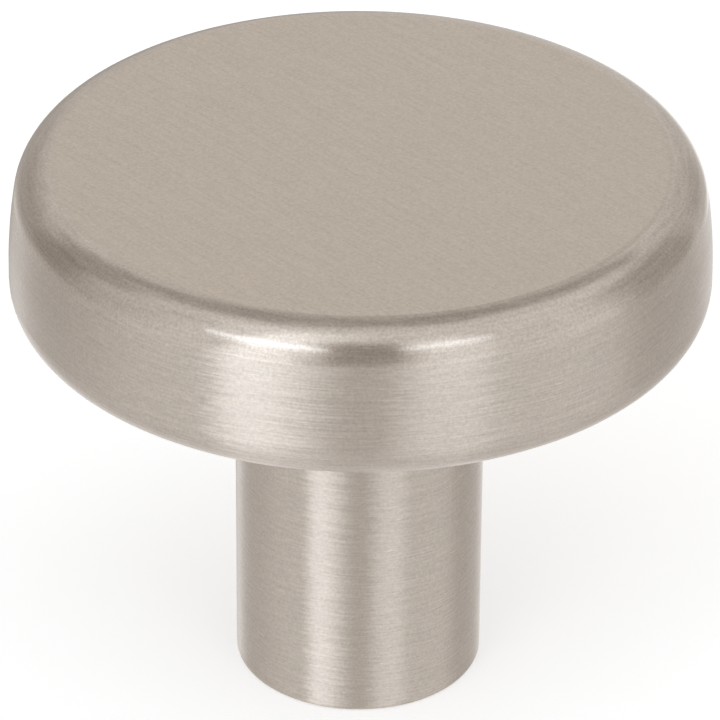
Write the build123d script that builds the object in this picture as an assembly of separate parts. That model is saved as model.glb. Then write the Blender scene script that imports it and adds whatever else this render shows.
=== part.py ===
from build123d import *
import os
from math import radians, sqrt, tan

# Cabinet knob: a flat round head on a straight stem, cast in one piece.
# Sizes are in millimetres. +Z runs along the stem from the base to the head.
# The origin is the centre of the base, where the knob meets the drawer front.

# Head
HEAD_DIAMETER = 32.0
HEAD_THICKNESS = 7.4
TOP_EDGE_RADIUS = 1.85
LOWER_EDGE_RADIUS = 1.8
WALL_BULGE_RADIUS = 25.0
WALL_WIDEST_HEIGHT = 1.9

# Stem
STEM_DIAMETER = 11.5
STEM_LENGTH = 18.9
STEM_ROOT_RADIUS = 0.8
BASE_EDGE_RADIUS = 0.25

# Tapped hole for an 8-32 machine screw, open to the thread's major diameter
THREAD_DIAMETER = 4.2
THREAD_DEPTH = 11.5
MOUTH_DIAMETER = 5.2
MOUTH_ANGLE = 90.0
DRILL_POINT_ANGLE = 118.0

# Heights along the axis
UNDERSIDE = STEM_LENGTH
TOP = STEM_LENGTH + HEAD_THICKNESS
WALL_WIDEST = UNDERSIDE + WALL_WIDEST_HEIGHT

# Radii and depths that follow from the sizes above
STEM_RADIUS = STEM_DIAMETER / 2
THREAD_RADIUS = THREAD_DIAMETER / 2
MOUTH_RADIUS = MOUTH_DIAMETER / 2
MOUTH_DEPTH = (MOUTH_RADIUS - THREAD_RADIUS) / tan(radians(MOUTH_ANGLE / 2))
DRILL_POINT = THREAD_DEPTH + THREAD_RADIUS / tan(radians(DRILL_POINT_ANGLE / 2))


def wall_radius(height):
    """Radius of the bulged wall at a height on the axis."""
    centre = HEAD_DIAMETER / 2 - WALL_BULGE_RADIUS
    return centre + sqrt(WALL_BULGE_RADIUS**2 - (height - WALL_WIDEST) ** 2)


# Corners of the half-section, as radius and height
top_rim = (wall_radius(TOP), TOP)
wall_middle = (wall_radius((UNDERSIDE + TOP) / 2), (UNDERSIDE + TOP) / 2)
lower_rim = (wall_radius(UNDERSIDE), UNDERSIDE)
stem_root = (STEM_RADIUS, UNDERSIDE)
base_edge = (STEM_RADIUS, 0)

with BuildPart() as knob:
    with BuildSketch(Plane.XZ) as section:
        with BuildLine():
            Line((0, TOP), top_rim)
            ThreePointArc(top_rim, wall_middle, lower_rim)
            Polyline(
                lower_rim,
                stem_root,
                base_edge,
                (MOUTH_RADIUS, 0),
                (THREAD_RADIUS, MOUTH_DEPTH),
                (THREAD_RADIUS, THREAD_DEPTH),
                (0, DRILL_POINT),
                (0, TOP),
            )
        make_face()

        # Rounded edges, each at its own corner of the section
        for corner, radius in (
            (top_rim, TOP_EDGE_RADIUS),
            (lower_rim, LOWER_EDGE_RADIUS),
            (stem_root, STEM_ROOT_RADIUS),
            (base_edge, BASE_EDGE_RADIUS),
        ):
            fillet(section.vertices().sort_by_distance((*corner, 0))[0], radius)
    revolve(axis=Axis.Z)

os.makedirs("parts", exist_ok=True)
export_step(knob.part, "parts/knob.step")
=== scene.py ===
import math

import bmesh
import bpy
from mathutils import Matrix, Vector


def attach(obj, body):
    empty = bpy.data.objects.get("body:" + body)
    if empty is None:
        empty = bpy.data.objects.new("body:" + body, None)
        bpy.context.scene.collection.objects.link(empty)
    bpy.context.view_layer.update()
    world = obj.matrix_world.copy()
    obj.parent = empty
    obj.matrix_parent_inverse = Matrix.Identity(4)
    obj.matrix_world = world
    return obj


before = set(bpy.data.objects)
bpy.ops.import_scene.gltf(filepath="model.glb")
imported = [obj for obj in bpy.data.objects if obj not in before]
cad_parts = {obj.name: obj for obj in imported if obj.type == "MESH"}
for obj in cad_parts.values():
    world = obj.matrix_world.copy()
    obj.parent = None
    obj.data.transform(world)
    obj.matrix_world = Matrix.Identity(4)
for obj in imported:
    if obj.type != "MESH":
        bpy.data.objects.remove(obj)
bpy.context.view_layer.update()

# Lengths are in metres. The knob stands on its base at the origin, with its head up +Z.
MM = 0.001

# The tapped hole's thread, an 8-32 cut into the plain hole of the solid
HOLE_RADIUS = 2.1 * MM
THREAD_PITCH = 0.794 * MM
THREAD_CREST_RADIUS = 1.76 * MM
THREAD_CREST_WIDTH = 0.19 * MM
THREAD_ROOT_WIDTH = 0.62 * MM
THREAD_ROOT_SINK = 0.03 * MM
THREAD_START = 0.85 * MM
THREAD_TURNS = 12
THREAD_STEPS_PER_TURN = 40
THREAD_MERGE_DISTANCE = 0.0001 * MM

# Satin nickel on the top face, on the rounding of its edge, and on the sides (wall and stem)
NICKEL = (0.647, 0.583, 0.523, 1)
# The top face's nickel is the same metal painted a little warmer and lighter: a painted tint for the
# warm light the top reflects
WARM_PAINTED_TOP_NICKEL = (0.663, 0.585, 0.507, 1)
NICKEL_ANISOTROPY = 1.0
TOP_ROUGHNESS = 0.20
ROUNDING_ROUGHNESS = 0.15
SIDE_ROUGHNESS = 0.31
ROUGHNESS_CONTRAST = 0.15

# How far up a face looks, from -1 to 1, where each finish starts and where it is full
TOP_FACING = (0.985, 0.999)
SIDE_FACING = (0.33, 0.09)
DOWN_FACING = (-0.80, -0.97)

# How much the strokes, the grain and the scratches lighten and darken the metal
TOP_CONTRAST = 0.066
ROUNDING_CONTRAST = 0.09
SIDE_CONTRAST = 0.138
TOP_GRAIN = 0.20
ROUNDING_GRAIN = 0.30
SIDE_GRAIN = 0.225
SCRATCH_CONTRAST = 0.32

# Brush strokes, rings, scratches and grain, each with its length and width
TOP_STROKE = (3.2 * MM, 0.105 * MM)
TOP_BRUSH_ANGLE = math.radians(-47)
SIDE_STROKE_SETS = (
    # waves round the knob, their start, stroke length and width
    (5, 0.0, 1.2 * MM, 0.075 * MM),
    (8, 2.0, 3.6 * MM, 0.085 * MM),
)
SECOND_SET_SHARE = 0.5
STROKE_WAVE = 0.05 * MM
RING = (2.0 * MM, 0.07 * MM)
SCRATCH = (1.0 * MM, 0.065 * MM)
GRAIN = (0.125 * MM, 0.125 * MM)
NOISE_DETAIL = 2.0
NOISE_ROUGHNESS = 0.55
STROKE_LEVELS = (0.28, 0.72)
SCRATCH_LEVELS = (0.67, 0.77)

# Relief of the strokes, and how far those on the sides lean
STROKE_HEIGHT = 0.0005 * MM
STROKE_LEAN = 0.036
TOP_RELIEF = 0.5
ROUNDING_RELIEF = 0.0
SIDE_RELIEF = 1.0

# Bare zinc, where the tap has cut through the plating
ZINC = (0.39, 0.39, 0.40, 1)
ZINC_ROUGHNESS = 0.40
ZINC_CONTRAST = 0.15
CUT_RADIUS = 2.62 * MM
CUT_DEPTH = 13.0 * MM

# Camera
CAMERA_AIM_HEIGHT = 15.68 * MM
CAMERA_DISTANCE = 250.63 * MM
CAMERA_ELEVATION = math.radians(31.224)
CAMERA_ROLL = math.radians(0.384)
CAMERA_LENS = 272.3
CAMERA_SENSOR = 36.0
CAMERA_NEAR = 10 * MM

# Studio light: a white tent round the knob and two softboxes in front of it, beside the camera.
# Azimuths run from the front, positive to the right, and elevations up from the floor, both in degrees.
SOFTBOX_DISTANCE = 0.7
SOFTBOX_WHITE = (0.85, 0.98, 1.11)
SOFTBOXES = (
    # name, azimuth, elevation, width, height, brightness
    ("softbox_left", -32, 37.0, 0.46, 0.09, 1.75),
    ("softbox_right", 30, 40, 0.33, 0.06, 1.6),
)
TENT_SHADE = 0.79
TENT_WARMTH = 0.07
HALF_TURN = 180
FULL_TURN = 360

# The tent's panels, each laid over those before it. Azimuths past a half turn count on round the back.
TENT_PANELS = (
    # azimuths where the panel starts, is full, is still full and ends; its elevations; its brightness
    ((118, 150, 222, 262), (36, 44, 72, 86), 0.42),
    ((128, 150, 210, 232), (-12, -2, 37, 44), 0.74),
    ((180, 192, 204, 222), (30, 38, 42, 50), 0.72),
    ((128, 142, 160, 176), (-12, -2, 28, 44), 0.61),
    ((76, 104, 122, 146), (-28, -14, 30, 48), 0.44),
    ((130, 140, 148, 160), (-13, -3, 10, 24), 0.50),
    ((-95, -62, -20, 20), (52, 62, 70, 90), 1.02),
    ((-98, -84, -74, -56), (2, 22, 52, 68), 0.70),
    ((-34, -24, 22, 34), (-14, -4, 48, 60), 0.38),
    ((-100, -78, 78, 100), (-36, -20, -12, -2), 0.85),
    ((140, 164, 172, 182), (-100, -95, -24, -8), 1.42),
    ((130, 140, 153, 165), (-26, -17, -10, 0), 0.62),
    ((168, 215, 250, 304), (-28, -10, 12, 44), 0.44),
    ((-132, -119, -112, -97), (-14, -2, 32, 48), 0.35),
    ((-150, -136, -112, -84), (26, 37, 42, 60), 0.41),
    ((-140, -122, -104, -84), (-100, -95, -36, -10), 0.74),
    ((174, 184, 199, 209), (-34, -26, -6, 6), 0.44),
    ((194, 204, 210, 226), (-100, -95, -34, -20), 1.68),
    ((88, 102, 118, 140), (-100, -95, -26, -12), 0.67),
    ((-34, -20, 16, 30), (-100, -95, -12, -2), 0.72),
    ((-52, -41, -38, -1), (-56, -16, -15, -1), 1.92),
    ((-46, -35, -31, -3), (-12, 2, 60, 82), 1.45),
    ((8, 26, 34, 48), (-10, 4, 46, 64), 1.02),
    ((2, 21, 34, 48), (-56, -16, -15, -1), 1.29),
)

# Floor, which lies just under the base
FLOOR_SIZE = 6.0
FLOOR_DROP = 0.02 * MM
FLOOR_COLOUR = (0.91, 0.92, 0.93, 1)
FLOOR_ROUGHNESS = 0.9
FLOOR_GLOW = 0.46


def add(tree, kind, **settings):
    """A new node of that kind, with its own properties set."""
    made = tree.nodes.new(kind)
    for name, value in settings.items():
        setattr(made, name, value)
    return made


def feed(tree, socket, value):
    """Puts a number or colour on a socket, or joins another socket to it."""
    if isinstance(value, bpy.types.NodeSocket):
        tree.links.new(value, socket)
    else:
        socket.default_value = value


def calc(tree, operation, *values):
    """The result of a Math node."""
    made = add(tree, "ShaderNodeMath", operation=operation)
    for socket, value in zip(made.inputs, values):
        feed(tree, socket, value)
    return made.outputs[0]


def vector_calc(tree, operation, *values):
    """The result of a Vector Math node."""
    made = add(tree, "ShaderNodeVectorMath", operation=operation)
    for socket, value in zip(made.inputs, values):
        feed(tree, socket, value)
    return made.outputs[0]


def split(tree, vector):
    """The three numbers of a vector."""
    made = add(tree, "ShaderNodeSeparateXYZ")
    feed(tree, made.inputs[0], vector)
    return made.outputs[0], made.outputs[1], made.outputs[2]


def join(tree, first, second, third):
    """A vector from three numbers."""
    made = add(tree, "ShaderNodeCombineXYZ")
    for socket, value in zip(made.inputs, (first, second, third)):
        feed(tree, socket, value)
    return made.outputs[0]


def ease(tree, value, low, high):
    """A smooth step from nothing to one as the value goes from low to high."""
    made = add(tree, "ShaderNodeMapRange", interpolation_type="SMOOTHSTEP")
    for socket, number in zip(made.inputs, (value, low, high)):
        feed(tree, socket, number)
    return made.outputs[0]


def within(tree, value, limits):
    """One between the second and third limits, fading to nothing at the first and the last."""
    start, full, still_full, end = limits
    return calc(tree, "MULTIPLY", ease(tree, value, start, full), ease(tree, value, end, still_full))


def blend(tree, share, first, second, kind="FLOAT", mode="MIX"):
    """A mix of two numbers, vectors or colours."""
    made = add(tree, "ShaderNodeMix", data_type=kind, blend_type=mode)
    # The places of the two inputs and of the result among the node's sockets
    first_in, second_in, result = {"FLOAT": (2, 3, 0), "VECTOR": (4, 5, 1), "RGBA": (6, 7, 2)}[kind]
    feed(tree, made.inputs[0], share)
    feed(tree, made.inputs[first_in], first)
    feed(tree, made.inputs[second_in], second)
    return made.outputs[result]


def scaled(tree, colour, share):
    """A colour made lighter or darker."""
    return blend(tree, 1.0, colour, share, "RGBA", "MULTIPLY")


def spread(tree, value):
    """A number from nothing to one, spread from minus one to one."""
    return calc(tree, "MULTIPLY_ADD", value, 2.0, -1.0)


def streaks(tree, vector, size):
    """Noise drawn out along the first two axes of the vector, and fine across the third."""
    along, across = size
    stretch = add(tree, "ShaderNodeMapping")
    feed(tree, stretch.inputs["Vector"], vector)
    stretch.inputs["Scale"].default_value = (1 / along, 1 / along, 1 / across)
    noise = add(tree, "ShaderNodeTexNoise", noise_dimensions="3D")
    feed(tree, noise.inputs["Vector"], stretch.outputs[0])
    noise.inputs["Scale"].default_value = 1.0
    noise.inputs["Detail"].default_value = NOISE_DETAIL
    noise.inputs["Roughness"].default_value = NOISE_ROUGHNESS
    return noise.outputs["Fac"]


def strokes(tree, vector, size):
    """Brush strokes, from dark (nothing) to light (one)."""
    return ease(tree, streaks(tree, vector, size), *STROKE_LEVELS)


def straight_strokes(tree, point):
    """Strokes across the top, all one way."""
    turn = add(tree, "ShaderNodeMapping")
    feed(tree, turn.inputs["Vector"], point)
    turn.inputs["Rotation"].default_value = (0, 0, -TOP_BRUSH_ANGLE)
    along, across, height = split(tree, turn.outputs[0])
    return strokes(tree, join(tree, along, height, across), TOP_STROKE)


def around_strokes(tree, x, y, height):
    """Sets of strokes round the axis, which rise and fall a little on their way."""
    angle = calc(tree, "ARCTAN2", y, x)
    sets = []
    for waves, start, length, width in SIDE_STROKE_SETS:
        wave = calc(tree, "SINE", calc(tree, "MULTIPLY_ADD", angle, waves, start))
        waved = calc(tree, "MULTIPLY_ADD", wave, STROKE_WAVE, height)
        sets.append(strokes(tree, join(tree, x, y, waved), (length, width)))
    return sets


def new_material(name):
    """An empty node material, its tree and its shader."""
    material = bpy.data.materials.new(name)
    material.use_nodes = True
    tree = material.node_tree
    tree.nodes.clear()
    shader = add(tree, "ShaderNodeBsdfPrincipled")
    output = add(tree, "ShaderNodeOutputMaterial")
    tree.links.new(shader.outputs[0], output.inputs[0])
    return material, tree, shader


def satin_nickel():
    """Brushed nickel plate, with bare zinc in the hole."""
    material, tree, shader = new_material("satin_nickel")
    place = add(tree, "ShaderNodeTexCoord")
    point = place.outputs["Object"]
    x, y, z = split(tree, point)
    facing = split(tree, place.outputs["Normal"])[2]
    radius_squared = calc(tree, "ADD", calc(tree, "MULTIPLY", x, x), calc(tree, "MULTIPLY", y, y))
    radius = calc(tree, "SQRT", radius_squared)

    # Where each finish shows: the rounding of the top edge lies between the other two
    on_top = ease(tree, facing, *TOP_FACING)
    on_sides = ease(tree, facing, *SIDE_FACING)
    below = ease(tree, facing, *DOWN_FACING)

    def by_place(rounding, top, sides):
        """A number for each finish, mixed where they meet."""
        return blend(tree, on_sides, blend(tree, on_top, rounding, top), sides)

    # Straight strokes across the top, strokes round the sides, and rings on the faces that look down
    first_set, second_set = around_strokes(tree, x, y, z)
    both_sets = blend(tree, SECOND_SET_SHARE, first_set, second_set)
    rings = strokes(tree, join(tree, x, y, radius), RING)
    brush = blend(tree, on_top, blend(tree, below, both_sets, rings), straight_strokes(tree, point))
    brushed = spread(tree, brush)
    grain = spread(tree, streaks(tree, point, GRAIN))
    scratches = ease(tree, streaks(tree, point, SCRATCH), *SCRATCH_LEVELS)
    scratches = blend(tree, below, calc(tree, "MULTIPLY", scratches, on_sides), 0.0)

    # Lighter and darker by the strokes, the grain and a few scratches
    contrast = by_place(ROUNDING_CONTRAST, TOP_CONTRAST, SIDE_CONTRAST)
    grain_contrast = by_place(ROUNDING_GRAIN, TOP_GRAIN, SIDE_GRAIN)
    tone = calc(tree, "MULTIPLY_ADD", brushed, contrast, 1.0)
    tone = calc(tree, "MULTIPLY_ADD", grain, grain_contrast, tone)
    tone = calc(tree, "MULTIPLY_ADD", scratches, SCRATCH_CONTRAST, tone)
    near_axis = calc(tree, "LESS_THAN", radius, CUT_RADIUS)
    near_base = calc(tree, "LESS_THAN", z, CUT_DEPTH)
    in_hole = calc(tree, "MULTIPLY", near_axis, near_base)
    # On the top face the nickel takes its painted warmer tint, which stands in for the light the top
    # reflects
    nickel = blend(tree, on_top, NICKEL, WARM_PAINTED_TOP_NICKEL, "RGBA")
    metal = blend(tree, in_hole, nickel, ZINC, "RGBA")
    feed(tree, shader.inputs["Base Color"], scaled(tree, metal, tone))

    roughness = by_place(ROUNDING_ROUGHNESS, TOP_ROUGHNESS, SIDE_ROUGHNESS)
    uneven = calc(tree, "MULTIPLY_ADD", brushed, ROUGHNESS_CONTRAST, 1.0)
    feed(tree, shader.inputs["Roughness"], calc(tree, "MULTIPLY", roughness, uneven))
    shader.inputs["Metallic"].default_value = 1.0

    # The knob is round, so whatever the mesh's normals lean round the axis is taken out
    around = vector_calc(tree, "NORMALIZE", vector_calc(tree, "CROSS_PRODUCT", (0, 0, 1), point))
    faceted = add(tree, "ShaderNodeNewGeometry").outputs["Normal"]
    round_lean = vector_calc(tree, "PROJECT", faceted, around)
    normal = vector_calc(tree, "NORMALIZE", vector_calc(tree, "SUBTRACT", faceted, round_lean))

    # Highlights spread across the strokes
    across_sides = vector_calc(tree, "NORMALIZE", vector_calc(tree, "CROSS_PRODUCT", normal, around))
    across_top = (-math.sin(TOP_BRUSH_ANGLE), math.cos(TOP_BRUSH_ANGLE), 0)
    shader.inputs["Anisotropic"].default_value = NICKEL_ANISOTROPY
    feed(tree, shader.inputs["Tangent"], blend(tree, on_top, across_sides, across_top, "VECTOR"))

    # Each stroke on the sides throws its light a little to the left or right, and has a fine relief
    side_lean = calc(tree, "MULTIPLY", on_sides, STROKE_LEAN)
    lean = calc(tree, "MULTIPLY", calc(tree, "SUBTRACT", first_set, second_set), side_lean)
    leaned = vector_calc(tree, "ADD", normal, vector_calc(tree, "MULTIPLY", around, lean))
    bump = add(tree, "ShaderNodeBump")
    bump.inputs["Distance"].default_value = STROKE_HEIGHT
    feed(tree, bump.inputs["Strength"], by_place(ROUNDING_RELIEF, TOP_RELIEF, SIDE_RELIEF))
    feed(tree, bump.inputs["Height"], brush)
    feed(tree, bump.inputs["Normal"], vector_calc(tree, "NORMALIZE", leaned))
    feed(tree, shader.inputs["Normal"], bump.outputs[0])
    return material


def cut_zinc():
    """Bare zinc of the thread, with fine tool marks round it."""
    material, tree, shader = new_material("cut_zinc")
    place = add(tree, "ShaderNodeTexCoord")
    marks = spread(tree, strokes(tree, place.outputs["Object"], RING))
    tone = calc(tree, "MULTIPLY_ADD", marks, ZINC_CONTRAST, 1.0)
    feed(tree, shader.inputs["Base Color"], scaled(tree, ZINC, tone))
    feed(tree, shader.inputs["Roughness"], calc(tree, "MULTIPLY", tone, ZINC_ROUGHNESS))
    shader.inputs["Metallic"].default_value = 1.0
    return material


def screw_thread():
    """The thread's ridge, standing in from the hole's wall."""
    bm = bmesh.new()
    root = HOLE_RADIUS + THREAD_ROOT_SINK
    corners = (
        (root, -THREAD_ROOT_WIDTH / 2),
        (THREAD_CREST_RADIUS, -THREAD_CREST_WIDTH / 2),
        (THREAD_CREST_RADIUS, THREAD_CREST_WIDTH / 2),
        (root, THREAD_ROOT_WIDTH / 2),
    )
    section = bm.faces.new([bm.verts.new((r, 0, THREAD_START + h)) for r, h in corners])
    bmesh.ops.spin(
        bm,
        geom=[section, *section.edges, *section.verts],
        cent=(0, 0, 0),
        axis=(0, 0, 1),
        dvec=(0, 0, THREAD_PITCH / THREAD_STEPS_PER_TURN),
        angle=2 * math.pi * THREAD_TURNS,
        steps=THREAD_TURNS * THREAD_STEPS_PER_TURN,
        use_duplicate=False,
    )
    bmesh.ops.remove_doubles(bm, verts=bm.verts, dist=THREAD_MERGE_DISTANCE)
    bmesh.ops.recalc_face_normals(bm, faces=bm.faces)
    mesh = bpy.data.meshes.new("screw_thread")
    bm.to_mesh(mesh)
    bm.free()
    piece = bpy.data.objects.new("screw_thread", mesh)
    bpy.context.scene.collection.objects.link(piece)
    return piece


def softbox(name, azimuth, elevation, width, height, brightness):
    """An oval softbox that faces the knob."""
    light = bpy.data.lights.new(name, "AREA")
    light.shape = "ELLIPSE"
    light.size = width
    light.size_y = height
    light.color = SOFTBOX_WHITE
    area = math.pi / 4 * width * height
    light.energy = math.pi * area * brightness
    lamp = bpy.data.objects.new(name, light)
    a = math.radians(azimuth)
    e = math.radians(elevation)
    away = Vector((math.sin(a) * math.cos(e), -math.cos(a) * math.cos(e), math.sin(e)))
    lamp.location = away * SOFTBOX_DISTANCE
    lamp.rotation_mode = "QUATERNION"
    lamp.rotation_quaternion = away.to_track_quat("Z", "Y")
    lamp.visible_camera = False
    bpy.context.scene.collection.objects.link(lamp)


def tent():
    """The white tent, with its lighter and darker panels."""
    world = bpy.data.worlds.new("tent")
    world.use_nodes = True
    tree = world.node_tree
    tree.nodes.clear()
    place = add(tree, "ShaderNodeTexCoord")
    x, y, z = split(tree, place.outputs["Generated"])
    azimuth = calc(tree, "DEGREES", calc(tree, "ARCTAN2", x, calc(tree, "MULTIPLY", y, -1.0)))
    round_azimuth = calc(tree, "FLOORED_MODULO", azimuth, FULL_TURN)
    elevation = calc(tree, "DEGREES", calc(tree, "ARCSINE", z))
    shade = TENT_SHADE
    for azimuths, elevations, brightness in TENT_PANELS:
        measured = round_azimuth if azimuths[-1] > HALF_TURN else azimuth
        across = within(tree, measured, azimuths)
        upright = within(tree, elevation, elevations)
        shade = blend(tree, calc(tree, "MULTIPLY", across, upright), shade, brightness)

    # Bright panels are a little cool, and dark ones a little warm
    red = calc(tree, "POWER", shade, 1 - TENT_WARMTH)
    blue = calc(tree, "POWER", shade, 1 + TENT_WARMTH)
    glow = add(tree, "ShaderNodeBackground")
    feed(tree, glow.inputs["Color"], join(tree, red, shade, blue))
    output = add(tree, "ShaderNodeOutputWorld")
    tree.links.new(glow.outputs[0], output.inputs[0])
    bpy.context.scene.world = world


def floor():
    """A plain pale floor under the knob. The tent's low panels stand for it in reflections."""
    material, _, shader = new_material("pale_floor")
    shader.inputs["Base Color"].default_value = FLOOR_COLOUR
    shader.inputs["Roughness"].default_value = FLOOR_ROUGHNESS
    shader.inputs["Specular IOR Level"].default_value = 0.0
    shader.inputs["Emission Color"].default_value = FLOOR_COLOUR
    shader.inputs["Emission Strength"].default_value = FLOOR_GLOW
    bm = bmesh.new()
    bmesh.ops.create_grid(bm, x_segments=1, y_segments=1, size=FLOOR_SIZE / 2)
    bmesh.ops.translate(bm, verts=bm.verts, vec=(0, 0, -FLOOR_DROP))
    mesh = bpy.data.meshes.new("floor")
    bm.to_mesh(mesh)
    bm.free()
    mesh.materials.append(material)
    ground = bpy.data.objects.new("floor", mesh)
    ground.visible_glossy = False
    bpy.context.scene.collection.objects.link(ground)


def camera():
    """The photograph's viewpoint: in front, a little above, turned slightly about its own axis."""
    lens = bpy.data.cameras.new("camera")
    lens.lens = CAMERA_LENS
    lens.sensor_width = CAMERA_SENSOR
    lens.clip_start = CAMERA_NEAR
    eye = bpy.data.objects.new("camera", lens)
    away = Vector((0, -math.cos(CAMERA_ELEVATION), math.sin(CAMERA_ELEVATION)))
    aim = Vector((0, 0, CAMERA_AIM_HEIGHT))
    turned = away.to_track_quat("Z", "Y").to_matrix() @ Matrix.Rotation(CAMERA_ROLL, 3, "Z")
    eye.matrix_world = Matrix.Translation(aim + away * CAMERA_DISTANCE) @ turned.to_4x4()
    bpy.context.scene.collection.objects.link(eye)
    bpy.context.scene.camera = eye


# The knob itself keeps its solid's shape and gets its finish
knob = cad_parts["knob"]
knob.material_slots[0].material = satin_nickel()

thread = screw_thread()
thread.data.materials.append(cut_zinc())
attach(thread, "root")

floor()
tent()
for settings in SOFTBOXES:
    softbox(*settings)
camera()
bpy.context.scene.view_settings.view_transform = "Standard"
